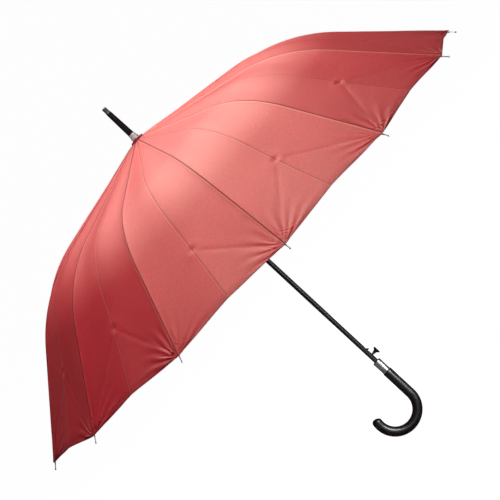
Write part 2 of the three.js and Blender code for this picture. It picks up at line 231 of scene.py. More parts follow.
def satin(s, u, v, panel, extra_dark, extra_height, painted_highlight=0.0):
    """The cloth itself: fine weave, faint slubs, uneven grain and a warm, broad gloss, with the caller's
    painted highlight and dark marks mixed into its colour.
    """
    u_mm = s.math("MULTIPLY", u, 1000.0)
    v_mm = s.math("MULTIPLY", v, 1000.0)
    place = s.node("CombineXYZ", inputs={0: u_mm, 1: v_mm, 2: panel})
    slub_place = s.node("CombineXYZ", inputs={
        0: s.math("MULTIPLY", u_mm, 0.05), 1: s.math("MULTIPLY", v_mm, 0.32), 2: panel})
    slubs = s.noise(slub_place, 1.0, 4.0, 0.7)
    cloud = s.noise(place, 0.012, 3.0, 0.5)
    grain = s.noise(place, 0.30, 3.0, 0.75)
    base = s.mix(s.range(cloud, 0.3, 0.7, 0.0, 1.0), CRIMSON, CRIMSON_LIGHT)
    base = s.mix(s.range(slubs, 0.40, 0.70, 0.0, 0.40), base, SLUB_RED)
    base = s.mix(s.range(grain, 0.35, 0.65, 0.0, 0.65), base, GRAIN_RED)
    # painted highlight: a bright red mixed into the base colour wherever the caller asks for it
    base = s.mix(painted_highlight, base, PAINTED_HIGHLIGHT_RED)
    # dark seam lines and stitches, and on the canopy also painted shade along the hem
    base = s.mix(extra_dark, base, SEAM_AND_PAINTED_SHADE_RED)
    weave = woven(s, u, v, THREADS)
    height = s.math("ADD", s.math("MULTIPLY", weave, 0.3), s.math("MULTIPLY", slubs, 0.8))
    height = s.math("ADD", height, s.math("MULTIPLY", grain, 0.9))
    normal = s.bump(height, 0.35, 0.0005)
    normal = s.bump(extra_height, 0.9, 0.0006, normal)
    s.set(Base_Color=base, Roughness=s.range(slubs, 0.3, 0.7, 0.44, 0.54), Normal=normal)
    s.set(IOR=CLOTH_IOR, Specular_Tint=GLOSS_TINT)
    s.set(Specular_IOR_Level=s.range(extra_dark, 0.0, 1.0, 1.0, 0.1))
    s.set(Sheen_Roughness=0.35, Sheen_Tint=SHEEN_TINT)
    s.set(Sheen_Weight=s.range(extra_dark, 0.0, 1.0, 0.03, 0.0))
    return s.material


def fabric_finish():
    """Satin-faced polyester with its needle lines: along each rib seam, each middle seam and the hem.

    A seam is a dark line with a row of stitches beside it and a painted highlight on one side, where its fold
    would catch the light. Along the hem the cloth is painted a shade darker.
    """
    s = Shader("red_satin_polyester")
    u = s.attribute("across")
    v = s.attribute("down")
    middle = s.attribute("middle")
    hem = s.attribute("hem")
    seam_line = band(s, u, 0.0006, 0.0008, 0.0008)
    seam_stitch = stitches(s, band(s, s.math("ABSOLUTE", u), 0.0026, 0.0002, 0.0002), v, 0.0028)
    middle_line = band(s, middle, 0.0, 0.0005, 0.0007)
    middle_stitch = stitches(s, band(s, middle, 0.0020, 0.0002, 0.0002), v, 0.0028)
    hem_stitch = stitches(s, band(s, hem, 0.0066, 0.0002, 0.0003), u, 0.0030)
    hem_edge = band(s, hem, 0.0, 0.0010, 0.0008)
    dark = s.math("MULTIPLY", seam_line, 0.85)
    dark = s.math("MAXIMUM", dark, s.math("MULTIPLY", middle_line, 0.45))
    dark = s.math("MAXIMUM", dark, s.math("MULTIPLY", seam_stitch, 0.45))
    dark = s.math("MAXIMUM", dark, s.math("MULTIPLY", middle_stitch, 0.25))
    dark = s.math("MAXIMUM", dark, s.math("MULTIPLY", hem_stitch, 0.5))
    dark = s.math("MAXIMUM", dark, s.math("MULTIPLY", hem_edge, 0.9))
    # painted shade: the cloth darkens towards the rim over the last 20 mm of the hem
    dark = s.math("MAXIMUM", dark, s.range(hem, 0.0, 0.020, 0.45, 0.0))
    sunk = s.math("MAXIMUM", seam_stitch, s.math("MAXIMUM", middle_stitch, hem_stitch))
    height = s.math("SUBTRACT", 1.0, s.math("MAXIMUM", sunk, s.math("MULTIPLY", seam_line, 0.6)))
    one_side = s.math("MULTIPLY", s.math("GREATER_THAN", u, 0.0), 0.5)
    # painted highlight: bright lines painted beside each rib seam and on one side of each middle seam
    lit = s.math("MULTIPLY", band(s, u, -0.0020, 0.0007, 0.0010), 0.75)
    lit = s.math("MAXIMUM", lit, s.math("MULTIPLY", band(s, middle, 0.0018, 0.0005, 0.0008), one_side))
    return satin(s, u, v, s.attribute("panel"), dark, height, lit)


STRAP_PANEL = 3.0        # shifts the strap's slubs and grain away from those of the panels


def strap_finish():
    """The canopy's cloth again, with a stitched border."""
    s = Shader("red_strap_cloth")
    u = s.attribute("strap_along")
    v = s.attribute("strap_across")
    border = stitches(s, band(s, s.math("ABSOLUTE", v), 0.0078, 0.0002, 0.0003), u, 0.0028)
    dark = s.math("MULTIPLY", border, 0.6)
    return satin(s, u, v, STRAP_PANEL, dark, s.math("SUBTRACT", 1.0, border))


def polish(name, colour, roughness, metallic=0.0, coat=0.0, grain=0.03, scale=900.0, level=0.5):
    """A hard finish with a fine grain, a soft mottle and slightly uneven gloss."""
    s = Shader(name)
    p = s.point()
    mottle = s.noise(p, scale * 0.08, 4.0, 0.55)
    fine = s.noise(p, scale, 2.0, 0.6)
    dark = tuple(c * 0.7 for c in colour)
    light = tuple(min(1.0, c * 1.15 + 0.003) for c in colour)
    s.set(Base_Color=s.mix(s.range(mottle, 0.3, 0.7, 0.0, 1.0), dark, light))
    s.set(Roughness=s.range(mottle, 0.25, 0.75, roughness * 0.85, roughness * 1.15))
    s.set(Metallic=metallic, Coat_Weight=coat, Coat_Roughness=0.12, Specular_IOR_Level=level)
    s.set(Normal=s.bump(fine, grain, 0.00005))
    return s.material


def brushed(name, colour, roughness, fineness, metallic):
    """Metal with fine streaks. Fineness is the scale of their noise along x, y and z."""
    s = Shader(name)
    stretch = s.node("Mapping", inputs={"Vector": s.point(), "Scale": fineness})
    streaks = s.noise(stretch, 1.0, 5.0, 0.65)
    light = tuple(min(1.0, c * 1.12) for c in colour)
    dark = tuple(c * 0.8 for c in colour)
    s.set(Base_Color=s.mix(s.range(streaks, 0.3, 0.7, 0.0, 1.0), dark, light))
    s.set(Roughness=s.range(streaks, 0.3, 0.7, roughness * 0.8, roughness * 1.2), Metallic=metallic)
    s.set(Normal=s.bump(streaks, 0.05, 0.00004))
    return s.material


FABRIC = fabric_finish()
STRAP = strap_finish()
ROSETTE = polish("dark_red_coated_cloth", (0.22, 0.004, 0.018), 0.6,
                 grain=0.3, scale=2500.0, level=0.2)
ENAMEL = polish("black_enamel", (0.006, 0.007, 0.010), 0.16,
                coat=0.5, grain=0.002, scale=300.0)
MATT_BLACK = polish("satin_black_ferrule", (0.010, 0.011, 0.013), 0.42, level=0.35)
MOULDED = polish("glossy_black_moulding", (0.008, 0.012, 0.020), 0.36,
                 coat=0.08, grain=0.002, scale=300.0)
CATCH = polish("black_catch", (0.02, 0.02, 0.022), 0.3)
BLACK_STEEL = polish("black_coated_steel", (0.018, 0.018, 0.020), 0.34, metallic=0.35)
CHROME = brushed("bright_chrome", (0.95, 0.95, 0.96), 0.18, (60.0, 60.0, 1500.0), 0.5)
END_METAL = brushed("ferrule_end_metal", (0.26, 0.27, 0.25), 0.30, (60.0, 60.0, 900.0), 0.8)
COLLAR = brushed("brushed_collar", (0.52, 0.55, 0.58), 0.28, (40.0, 40.0, 1500.0), 0.75)
ZINC = brushed("zinc_plated_steel", (0.60, 0.61, 0.63), 0.30, (600.0, 600.0, 300.0), 0.8)
GREY_TIP = brushed("grey_rib_metal", (0.30, 0.30, 0.32), 0.34, (500.0, 500.0, 500.0), 0.8)


def finish_with(obj, material):
    """Gives an object one material."""
    obj.data.materials.clear()
    obj.data.materials.append(material)
    return obj


# ---------------------------------------------------------------- mesh helpers
def mesh_object(name, points, faces, material, smooth=True):
    """A new object with one material, linked into the scene."""
    mesh = bpy.data.meshes.new(name)
    mesh.from_pydata([tuple(p) for p in points], [], faces)
    mesh.validate()
    if smooth:
        mesh.shade_smooth()
    obj = bpy.data.objects.new(name, mesh)
    bpy.context.scene.collection.objects.link(obj)
    return finish_with(obj, material)


def fix_normals(obj):
    """Turns every face of a closed mesh outward."""
    bm = bmesh.new()
    bm.from_mesh(obj.data)
    bmesh.ops.recalc_face_normals(bm, faces=bm.faces)
    bm.to_mesh(obj.data)
    bm.free()
    return obj


def sharpen(obj, degrees=35):
    """Keeps edges steeper than this angle hard, and the rest smooth."""
    obj.data.set_sharp_from_angle(angle=math.radians(degrees))
    return obj


def lathe(name, outline, material, segments=64):
    """A closed outline of (radius, height) in mm, turned about the Z axis."""
    n = len(outline)
    points, faces = [], []
    for i in range(segments):
        a = 2 * math.pi * i / segments
        points += [(r * MM * math.cos(a), r * MM * math.sin(a), z * MM) for r, z in outline]
    for i in range(segments):
        j = (i + 1) % segments
        for k in range(n):
            m = (k + 1) % n
            faces.append((i * n + k, j * n + k, j * n + m, i * n + m))
    obj = mesh_object(name, points, faces, material)
    bm = bmesh.new()
    bm.from_mesh(obj.data)
    bmesh.ops.remove_doubles(bm, verts=bm.verts, dist=1e-6)
    bmesh.ops.dissolve_degenerate(bm, edges=bm.edges, dist=1e-7)
    bmesh.ops.recalc_face_normals(bm, faces=bm.faces)
    bm.to_mesh(obj.data)
    bm.free()
    return sharpen(obj)


def rounded(outline, radius, steps=4):
    """An outline with each corner turned into an arc of about the given radius in mm."""
    result = []
    n = len(outline)
    for i in range(n):
        before, here, after = (np.array(outline[(i + k) % n], float) for k in (-1, 0, 1))
        if here[0] < 1e-6:                            # a corner on the axis stays sharp
            result.append(tuple(here))
            continue
        back = before - here
        onward = after - here
        back_length = np.linalg.norm(back)
        onward_length = np.linalg.norm(onward)
        reach = min(radius, back_length * 0.45, onward_length * 0.45)
        start = here + back / back_length * reach
        end = here + onward / onward_length * reach
        for k in range(steps + 1):
            t = k / steps
            result.append(tuple((1 - t) ** 2 * start + 2 * t * (1 - t) * here + t * t * end))
    return result


# ---------------------------------------------------------------- the canopy
CLOTH = 0.6 * MM
HEM_WIDTH = 8 * MM
HEM_PROUD = 0.3 * MM     # how much the hem's double cloth stands up
DIMPLE_R = 0.470         # radius of the gathered spot on each middle seam
DIMPLE_DEPTH = 1.7 * MM
DIMPLE_WIDTH = 6.5 * MM
DIMPLE_LIP = 0.35 * MM
FLAP_FLARE = 0.085       # how far the cloth under the fold lines turns outward, per metre from the line
FOLD_SOFTNESS = 17 * MM
CREASE = 0.5 * MM        # depth of the fold lines themselves
RIDGE = 1.3 * MM         # height of the folded allowance over a rib
RIDGE_WIDTH = 3.0 * MM
GROOVE = 0.35 * MM       # depth of the middle seam
BULGE = 6.0 * MM         # how far a panel stands outside the flat chord between its ribs
HALF_SAG = 0.8 * MM      # how far each half panel hangs between the rib and the middle seam
CORNER_FOLD = 1.6 * MM
RIPPLE = 0.45 * MM
PUCKER = 0.12 * MM
DRIFT = 0.35 * MM        # slow unevenness over a whole panel
RIM_SCALLOP = 0.30       # share of the CAD hem's rise that is cut out of the cloth's own length
RIM_CURVE = 1.2
INNER_ROWS = 44
OUTER_ROWS = 78
HEM_ROWS = 8
HALF_COLUMNS = 32
NUDGE = 2e-5             # step for slopes, in metres and in radians
MEAN_SLOPE = math.radians(30)     # turns a radius into a length down the cloth, near enough for the weave
PANEL_STEP = 37.0                 # sets the cloth's pattern apart from rib to rib
HALF_STEP = 11.0                  # and from one side of a rib to the other
SEED = 12

RIM_HALF = CANOPY_R * math.sin(HALF)
RIM_S = (CANOPY_R - DIMPLE_R) / math.cos(SKIRT_SLOPE)     # from the dimple's level down to the rim
RIM_CUT = RIM_SCALLOP * RIM_RISE / math.sin(SKIRT_SLOPE)  # how much shorter the cloth is at mid panel
draw = np.random.default_rng(SEED)
PHASE = draw.uniform(0, 2 * math.pi, (RIBS, 6))
VARY = draw.uniform(0.75, 1.25, (RIBS, 6))


def smooth(t):
    """An S-shaped step from 0 to 1."""
    t = np.clip(t, 0, 1)
    return t * t * (3 - 2 * t)


def bell(distance, width):
    """1 at no distance, falling off on both sides."""
    return np.exp(-((distance / width) ** 2))


def soft_ramp(distance, softness):
    """Zero on one side of a fold and rising straight on the other, with a rounded knee."""
    return softness * np.logaddexp(0, distance / softness)


def panel_of(theta):
    """Which panel an angle falls in, and the angle from that panel's middle."""
    panel = np.floor(theta / SECTOR).astype(int)
    return panel % RIBS, theta - (panel + 0.5) * SECTOR


def rim_radius(theta):
    """The cloth's rim, on a rib's own scale: full at a rib and cut in a shallow scallop between."""
    _, side = panel_of(theta)
    share = np.abs(np.tan(side) / math.tan(HALF))
    return CANOPY_R - RIM_CUT * math.cos(SKIRT_SLOPE) * (1 - share ** RIM_CURVE)


def relief(radius, side, panel):
    """How far the cloth stands outside the flat chords between ribs, in metres."""
    x = radius * math.cos(HALF) * np.tan(side)
    half_width = np.maximum(radius * math.sin(HALF), 1e-6)
    share = np.clip(np.abs(x) / half_width, 0, 1)
    down = (radius - DIMPLE_R) / math.cos(SKIRT_SLOPE)
    to_rim = (CANOPY_R - radius) / math.cos(SKIRT_SLOPE)
    vary = VARY[panel]
    phase = PHASE[panel]

    swell = smooth((radius - 0.10) / 0.22) * smooth((CANOPY_R - radius) / 0.14)
    height = BULGE * np.sin(math.pi * radius / CANOPY_R) ** 2 * np.cos(share * math.pi / 2) ** 2
    height -= HALF_SAG * vary[..., 0] * swell * np.sin(share * math.pi) ** 2

    # two fold lines from the dimple down to the corners, with the cloth below them turned outward
    length = math.hypot(RIM_HALF, RIM_S)
    below = (down * RIM_HALF - np.abs(x) * RIM_S) / length
    along = (np.abs(x) * RIM_HALF + down * RIM_S) / length
    edge = smooth((1 - share) / 0.10)
    height += FLAP_FLARE * soft_ramp(below, FOLD_SOFTNESS) * edge * smooth(down / 0.03 + 1)
    crease = bell(below, 5 * MM) * smooth(along / 0.03) * smooth((length - along) / 0.05)
    height -= CREASE * vary[..., 1] * crease * edge

    # the gathered spot where the middle seam meets the folds
    spot = np.hypot(x / 1.15, down + 2 * MM)
    height -= DIMPLE_DEPTH * vary[..., 2] * bell(spot, DIMPLE_WIDTH)
    lip = bell(spot - 2.1 * DIMPLE_WIDTH, 7 * MM) * smooth(down / 0.05 + 1.2)
    height += DIMPLE_LIP * lip

    # a faint groove along the middle seam
    height -= GROOVE * bell(x, 1.4 * MM) * smooth((radius - 0.03) / 0.03)

    # folds that fan out of each corner
    for corner in (-1, 1):
        dx = RIM_HALF - corner * x
        reach = np.hypot(dx, to_rim)
        turn = np.arctan2(to_rim, np.maximum(dx, 1e-6))
        fan = smooth(reach / 0.025) * (1 - smooth((reach - 0.03) / 0.10))
        k = 3 if corner < 0 else 4
        waves = np.sin(turn * (17 + 5 * vary[..., k]) + phase[..., k] + 0.6 * np.sin(reach / 0.017))
        waves = waves + 0.7 * np.sin(turn * 37 + phase[..., 5]) * (1 - smooth((reach - 0.02) / 0.06))
        height += CORNER_FOLD * vary[..., k] * fan * waves * smooth(dx / 0.02) * 0.5

    # slack ripples between the fold lines and the rim, and small puckers beside the rib seams
    ripple = np.sin(x / 0.019 + phase[..., 0]) * smooth(below / 0.03)
    ripple = ripple * (1 - smooth((to_rim - 0.02) / 0.09))
    height += RIPPLE * ripple * edge
    from_rib = half_width - np.abs(x)
    pucker = bell(from_rib - 5 * MM, 5 * MM) * smooth(from_rib / 0.003)
    where = radius / 0.0085 + 2.2 * np.sin(radius / 0.051 + phase[..., 1])
    height += PUCKER * np.sin(where + phase[..., 2]) * pucker * smooth((radius - 0.05) / 0.05)
    drift = np.sin(radius / 0.047 + phase[..., 3]) * np.sin(x / 0.031 + phase[..., 4])
    height += DRIFT * drift * swell * smooth(from_rib / 0.04)

    # the rib seam's folded allowance
    height += RIDGE * np.exp(-from_rib / RIDGE_WIDTH) * smooth((radius - 0.012) / 0.02)
    return height


def cloth_point(radius, theta):
    """Where the outer face of the cloth is, for a rib-scale radius and an angle."""
    panel, side = panel_of(theta)
    z, slope = profile(radius)
    reach = radius * math.cos(HALF) / np.cos(side)
    middle = (panel + 0.5) * SECTOR
    proud = relief(radius, side, panel)
    to_hem = (rim_radius(theta) - radius) / math.cos(SKIRT_SLOPE)
    proud = proud + HEM_PROUD * smooth((HEM_WIDTH - to_hem) / (1.5 * MM))
    x = reach * np.cos(theta) + proud * np.sin(slope) * np.cos(middle)
    y = reach * np.sin(theta) + proud * np.sin(slope) * np.sin(middle)
    return np.stack([x, y, z + proud * np.cos(slope)], -1)


def cloth_normal(radius, theta, lean):
    """The cloth's outward direction. Where two panels meet, lean picks the one whose slope is taken."""
    theta = theta + lean * 3 * NUDGE
    across = cloth_point(radius, theta + NUDGE) - cloth_point(radius, theta - NUDGE)
    down = cloth_point(radius + NUDGE, theta) - cloth_point(radius - NUDGE, theta)
    normal = np.cross(down, across)
    return normal / np.maximum(np.linalg.norm(normal, axis=-1, keepdims=True), 1e-12)


def split_radius(side):
    """Where a sector is cut in two: the plane through the rib's bending pin, square to the rib."""
    low = np.full_like(side, 0.15)                    # radii on both sides of the cut, halved towards it
    high = np.full_like(side, 0.45)
    for _ in range(40):
        radius = (low + high) / 2
        reach = radius * math.cos(HALF) / np.cos(np.abs(side) - HALF) * np.cos(side)
        beyond = (reach - FLEX_RADIUS) * math.cos(FLEX_SLOPE)
        beyond -= (profile(radius)[0] - FLEX_Z) * math.sin(FLEX_SLOPE)
        low, high = np.where(beyond > 0, low, radius), np.where(beyond > 0, radius, high)
    return radius


def columns():
    """Angles across one sector, closer together beside the rib and beside the two middle seams."""
    t = np.linspace(-1, 1, HALF_COLUMNS + 1)
    half = (t + 1) / 2 + 0.12 * np.sin(math.pi * t) / math.pi
    half = np.clip(half, 0, 1)
    return np.concatenate([-half[:0:-1], half]) * HALF


def cloth_piece(name, rib, rows_from, rows_to, rows):
    """One stretch of the canopy about a rib: a thin closed sheet with the curved cloth's own normals."""
    side = columns()
    theta = (rib * SECTOR + side) % (2 * math.pi)
    start = rows_from(side, theta)
    end = rows_to(side, theta)
    share = rows[:, None]
    radius = start[None, :] * (1 - share) + end[None, :] * share
    theta = np.broadcast_to(rib * SECTOR + side, radius.shape)
    n, m = radius.shape
    top = cloth_point(radius, theta % (2 * math.pi))
    # at a seam the two sides have a normal each, from the panel that each side's faces belong to
    plus = cloth_normal(radius, theta, 1)
    minus = cloth_normal(radius, theta, -1)
    middle = plus + minus
    middle /= np.linalg.norm(middle, axis=-1, keepdims=True)
    bottom = top - CLOTH * middle
    points = np.concatenate([top.reshape(-1, 3), bottom.reshape(-1, 3)])
    index = np.arange(n * m).reshape(n, m)
    under = index + n * m

    def quads(a, b, c, d):
        return np.stack([a.ravel(), b.ravel(), c.ravel(), d.ravel()], -1)

    upper = quads(index[:-1, :-1], index[1:, :-1], index[1:, 1:], index[:-1, 1:])
    lower = quads(under[:-1, :-1], under[:-1, 1:], under[1:, 1:], under[1:, :-1])
    walls = [quads(index[0, :-1], index[0, 1:], under[0, 1:], under[0, :-1]),
             quads(index[-1, 1:], index[-1, :-1], under[-1, :-1], under[-1, 1:]),
             quads(index[1:, 0], index[:-1, 0], under[:-1, 0], under[1:, 0]),
             quads(index[:-1, -1], index[1:, -1], under[1:, -1], under[:-1, -1])]
    faces = np.concatenate([upper, lower, *walls])
    mesh = bpy.data.meshes.new(name)
    mesh.from_pydata(points.tolist(), [], faces.tolist())
    mesh.shade_smooth()
    obj = bpy.data.objects.new(name, mesh)
    bpy.context.scene.collection.objects.link(obj)
    finish_with(obj, FABRIC)

    # each quad's first column of corners takes the plus normals and its second column the minus ones
    up = np.stack([plus[:-1, :-1], plus[1:, :-1], minus[1:, 1:], minus[:-1, 1:]], 2).reshape(-1, 3)
    low = -np.stack([plus[:-1, :-1], minus[:-1, 1:], minus[1:, 1:], plus[1:, :-1]], 2).reshape(-1, 3)
    wall = []
    for quad in np.concatenate(walls):
        a, b, c, d = points[quad]
        normal = np.cross(c - a, d - b)
        normal /= max(np.linalg.norm(normal), 1e-12)
        wall += [normal] * 4
    mesh.normals_split_custom_set(np.concatenate([up, low, np.array(wall)]).tolist())

    panel, offset = panel_of(theta)
    x = np.abs(radius * math.cos(HALF) * np.tan(offset))
    half_width = radius * math.sin(HALF)
    values = {
        "across": np.where(side[None, :] < 0, -1, 1) * (half_width - x),
        "middle": x,
        "down": radius / math.cos(MEAN_SLOPE),
        "hem": (rim_radius(theta) - radius) / math.cos(SKIRT_SLOPE),
        "panel": np.broadcast_to(rib * PANEL_STEP + np.where(side < 0, HALF_STEP, 0.0)[None, :],
                                 radius.shape),
    }
    for key, value in values.items():
        layer = mesh.attributes.new(key, "FLOAT", "POINT")
        layer.data.foreach_set("value", np.tile(np.asarray(value, np.float32).ravel(), 2))
    return obj


def canopy_sector(rib):
    """The cloth on both sides of one rib, an inner and an outer piece that meet at the rib's own joint."""
    number = f"{rib + 1:02d}"
    inner_rows = np.linspace(0, 1, INNER_ROWS)
    outer = np.linspace(0, 1, OUTER_ROWS - HEM_ROWS)
    hem_start = 1 - 1.5 * HEM_WIDTH / (CANOPY_R - FLEX_RADIUS) * math.cos(SKIRT_SLOPE)
    hem = np.linspace(hem_start, 1, HEM_ROWS + 1)
    outer_rows = np.unique(np.concatenate([outer * hem_start, hem]))
    spans = (
        ("inner", lambda s, t: np.full_like(s, HOLE_R), lambda s, t: split_radius(s), inner_rows),
        ("outer", lambda s, t: split_radius(s), lambda s, t: rim_radius(t), outer_rows),
    )
    for part, first, last, rows in spans:
        obj = cloth_piece(f"canopy_{part}_{number}", rib, first, last, rows)
        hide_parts("canopy")
        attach(obj, f"rib_{part}_{number}")
        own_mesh(obj)


for rib in range(RIBS):
    canopy_sector(rib)


# ---------------------------------------------------------------- closure strap
STRAP_RIB = 3                     # the strap is sewn beside this rib, counted from 0
STRAP_LENGTH = 84 * MM
STRAP_WIDTH = 20 * MM
STRAP_CLOTH = 0.9 * MM
STRAP_STEPS = 56
STRAP_LANES = 14
STRAP_NOSE = 0.12                 # share of the length that is rounded off
SNAP_STEPS = 9                    # from the snap to the end of the strap


def closure_strap():
    """A short band of cloth sewn near the hem, with a stitched border and a snap at its free end."""
    low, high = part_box("closure_strap")
    centre = (low + high) / 2
    panel_angle = (STRAP_RIB + 0.5) * SECTOR
    along = Vector((-math.sin(panel_angle), math.cos(panel_angle), 0))
    middle = Vector((math.cos(panel_angle), math.sin(panel_angle), 0))
    distance = centre.dot(middle)
    offset = centre.dot(along)
    slope = profile(distance / math.cos(HALF))[1]
    points = []
    for i in range(STRAP_STEPS + 1):
        t = i / STRAP_STEPS
        nose = max(0.0, (t - 1 + STRAP_NOSE) / STRAP_NOSE)
        half = STRAP_WIDTH / 2 * math.sqrt(max(0.0, 1 - nose ** 2 * 0.92))
        u = offset + (t - 0.5) * STRAP_LENGTH
        for j in range(STRAP_LANES + 1):
            w = j / STRAP_LANES * 2 - 1
            r = distance + w * half * math.cos(slope)
            theta = math.atan2(u, r) + panel_angle
            radius = math.hypot(u, r) * math.cos(theta - panel_angle) / math.cos(HALF)
            base = cloth_point(np.array(radius), np.array(theta % (2 * math.pi)))
            # it is sewn flat at its start, and then stands off the canopy in a slow wave
            lift = STRAP_CLOTH + 1.6 * MM * smooth(t / 0.2) + 0.9 * MM * math.sin(t * 7.0)
            lift += 0.25 * MM * math.cos(w * math.pi * 0.5)
            points.append((base, lift))
    outward = middle * math.sin(slope) + Vector((0, 0, math.cos(slope)))
    normal = np.array(outward)
    m = STRAP_LANES + 1
    n = (STRAP_STEPS + 1) * m
    top = [point + normal * lift for point, lift in points]
    bottom = [point + normal * (lift - STRAP_CLOTH) for point, lift in points]
    faces = []
    for i in range(STRAP_STEPS):
        for j in range(STRAP_LANES):
            a, b, c, d = i * m + j, (i + 1) * m + j, (i + 1) * m + j + 1, i * m + j + 1
            faces += [(a, b, c, d), (a + n, d + n, c + n, b + n)]
    ring = list(range(m))
    ring += [i * m + STRAP_LANES for i in range(1, STRAP_STEPS + 1)]
    ring += [STRAP_STEPS * m + j for j in range(STRAP_LANES - 1, -1, -1)]
    ring += [i * m for i in range(STRAP_STEPS - 1, 0, -1)]
    for a, b in zip(ring, ring[1:] + ring[:1]):
        faces.append((a, b, b + n, a + n))
    obj = fix_normals(mesh_object("closure_strap_cloth", top + bottom, faces, STRAP))
    sharpen(obj, 50)
    one_lane = np.linspace(0, STRAP_LENGTH, STRAP_STEPS + 1)
    one_step = np.linspace(-STRAP_WIDTH / 2, STRAP_WIDTH / 2, m)
    values = {"strap_along": np.repeat(one_lane, m), "strap_across": np.tile(one_step, STRAP_STEPS + 1)}
    for key, value in values.items():
        layer = obj.data.attributes.new(key, "FLOAT", "POINT")
        layer.data.foreach_set("value", np.tile(value.astype(np.float32), 2))

    outline = [(0, 1.5), (3.2, 1.5), (4.2, 0.4), (6.0, 0.3), (6.0, -0.2), (0, -0.2)]
    snap = lathe("closure_strap_snap", rounded(outline, 0.3), CHROME, 40)
    seat = top[(STRAP_STEPS - SNAP_STEPS) * m + STRAP_LANES // 2]
    upright = outward.to_track_quat("Z", "Y").to_matrix().to_4x4()
    snap.data.transform(Matrix.Translation(Vector(seat)) @ upright)
    for piece in (obj, snap):
        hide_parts("closure_strap")
        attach(piece, f"rib_outer_{STRAP_RIB + 1:02d}")
        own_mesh(piece)


# ---------------------------------------------------------------- shaft furniture
def turned_part(name, node, outline, material, body="frame", soften=0.3, segments=72, place=None):
    """A part turned from a closed outline in mm, with softened corners, in place of a CAD node."""
    obj = lathe(name, rounded(outline, soften), material, segments)
    if place is not None:
        obj.data.transform(place)
    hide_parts(node)
    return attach(obj, body)


def ends_in_mm(node):
    """The lowest and highest height of a CAD node, in mm."""
    low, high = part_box(node)
    return low.z / MM, high.z / MM


def shaft_furniture():
    """The turned parts on the shaft: ferrule, its metal end, the cup over the rosette and the collar."""
    outline = [(0, -14.2), (5.2, -14.2), (5.5, -15.0), (6.5, -73.2), (6.3, -73.7), (3.8, -73.7),
               (3.8, -49), (0, -49)]
    turned_part("ferrule_body", "ferrule", outline, MATT_BLACK)

    outline = [(0, -14), (5.2, -14), (5.2, -12.2), (4.9, -11.6), (4.75, -11), (4.7, -1.8),
               (4.4, -0.5), (3.7, 0), (0, 0)]
    turned_part("ferrule_end", "ferrule_tip", outline, END_METAL)

    foot, top = ends_in_mm("ferrule_cup")
    outline = [(5.4, foot), (8.5, foot), (8.8, foot + 0.9), (8.5, -83.4), (7.7, -80.4), (7.1, -77),
               (6.8, top + 0.5), (6.4, top), (5.4, top)]
    turned_part("ferrule_skirt", "ferrule_cup", outline, CHROME)

    collar_foot, collar_top = ends_in_mm("handle_collar")
    outline = [(5.4, collar_foot), (8.6, collar_foot)]
    for low, high in ((collar_foot + 0.2, collar_foot + 2.6), (collar_top - 2.8, collar_top - 0.6)):
        outline += [(9.15, low), (9.15, high), (8.85, high + 0.3)]
    outline += [(8.3, collar_top), (5.4, collar_top)]
    turned_part("handle_ferrule", "handle_collar", outline, COLLAR, soften=0.25)


def rosette_disc():
    """The coated cloth disc under the cup, its rim waved a little."""
    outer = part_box("rosette")[1].x / MM
    slope = math.tan(CROWN_SLOPE)
    hole = 5.5
    clear = 0.35                                      # of the canopy
    inner_z = CANOPY_TOP / MM - hole * slope + clear
    rim_z = CANOPY_TOP / MM - outer * slope + clear
    outline = [(hole, inner_z), (outer, rim_z), (outer, rim_z + 2.0), (13.2, rim_z + 2.3),
               (9.9, -87.3), (hole, -86.6)]
    obj = lathe("rosette_disc", rounded(outline, 0.4), ROSETTE, 120)
    for v in obj.data.vertices:
        reach = math.hypot(v.co.x, v.co.y) / MM
        turn = math.atan2(v.co.y, v.co.x)
        wave = math.sin(9 * turn) + 0.5 * math.sin(4 * turn + 1)
        v.co.z += 0.12 * MM * wave * max(0.0, (reach - 10) / 5)
    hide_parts("rosette")
    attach(obj, "frame")


def release_button():
    """The trumpet-shaped push button, turned and then laid across the shaft."""
    outline = [(0, 3.5), (2.3, 3.5), (2.3, 7.8), (3.2, 8.3), (3.2, 11.4), (3.7, 12.9), (5.0, 14.2),
               (7.1, 15.7), (7.9, 16.6), (7.9, 17.7), (6.6, 18.5), (3.5, 18.95), (0, 19.0)]
    low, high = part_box("release_button")
    place = Matrix.Translation((0, 0, (low.z + high.z) / 2)) @ Matrix.Rotation(math.pi / 2, 4, "Y")
    turned_part("release_button_cap", "release_button", outline, MOULDED,
                "release_button", 0.5, 56, place)


# ---------------------------------------------------------------- swept parts
def swept(name, rings, material, sides=48):
    """A closed skin over rings, each a centre, two unit directions and a radius."""
    points, faces = [], []
    for centre, u, v, radius in rings:
        for i in range(sides):
            a = 2 * math.pi * i / sides
            points.append(Vector(centre) + radius * (math.cos(a) * Vector(u) + math.sin(a) * Vector(v)))
    for k in range(len(rings) - 1):
        for i in range(sides):
            j = (i + 1) % sides
            faces.append((k * sides + i, k * sides + j, (k + 1) * sides + j, (k + 1) * sides + i))
    for k, ring in ((0, rings[0]), (len(rings) - 1, rings[-1])):
        points.append(Vector(ring[0]))
        tip = len(points) - 1
        faces += [(tip, k * sides + (i + 1) % sides, k * sides + i) for i in range(sides)]
    return sharpen(fix_normals(mesh_object(name, points, faces, material)), 40)


GRIP_R = 10.1 * MM
CROOK_R = 44 * MM
CROOK_SWEEP = math.radians(201)
SHAFT_BORE = 5.5 * MM
BORE_FOOT = -0.805
MOUTH_ROUND = 1.1 * MM            # of the handle's upper edge
DOME = 0.8                        # length of the domed end, as a share of the grip's radius


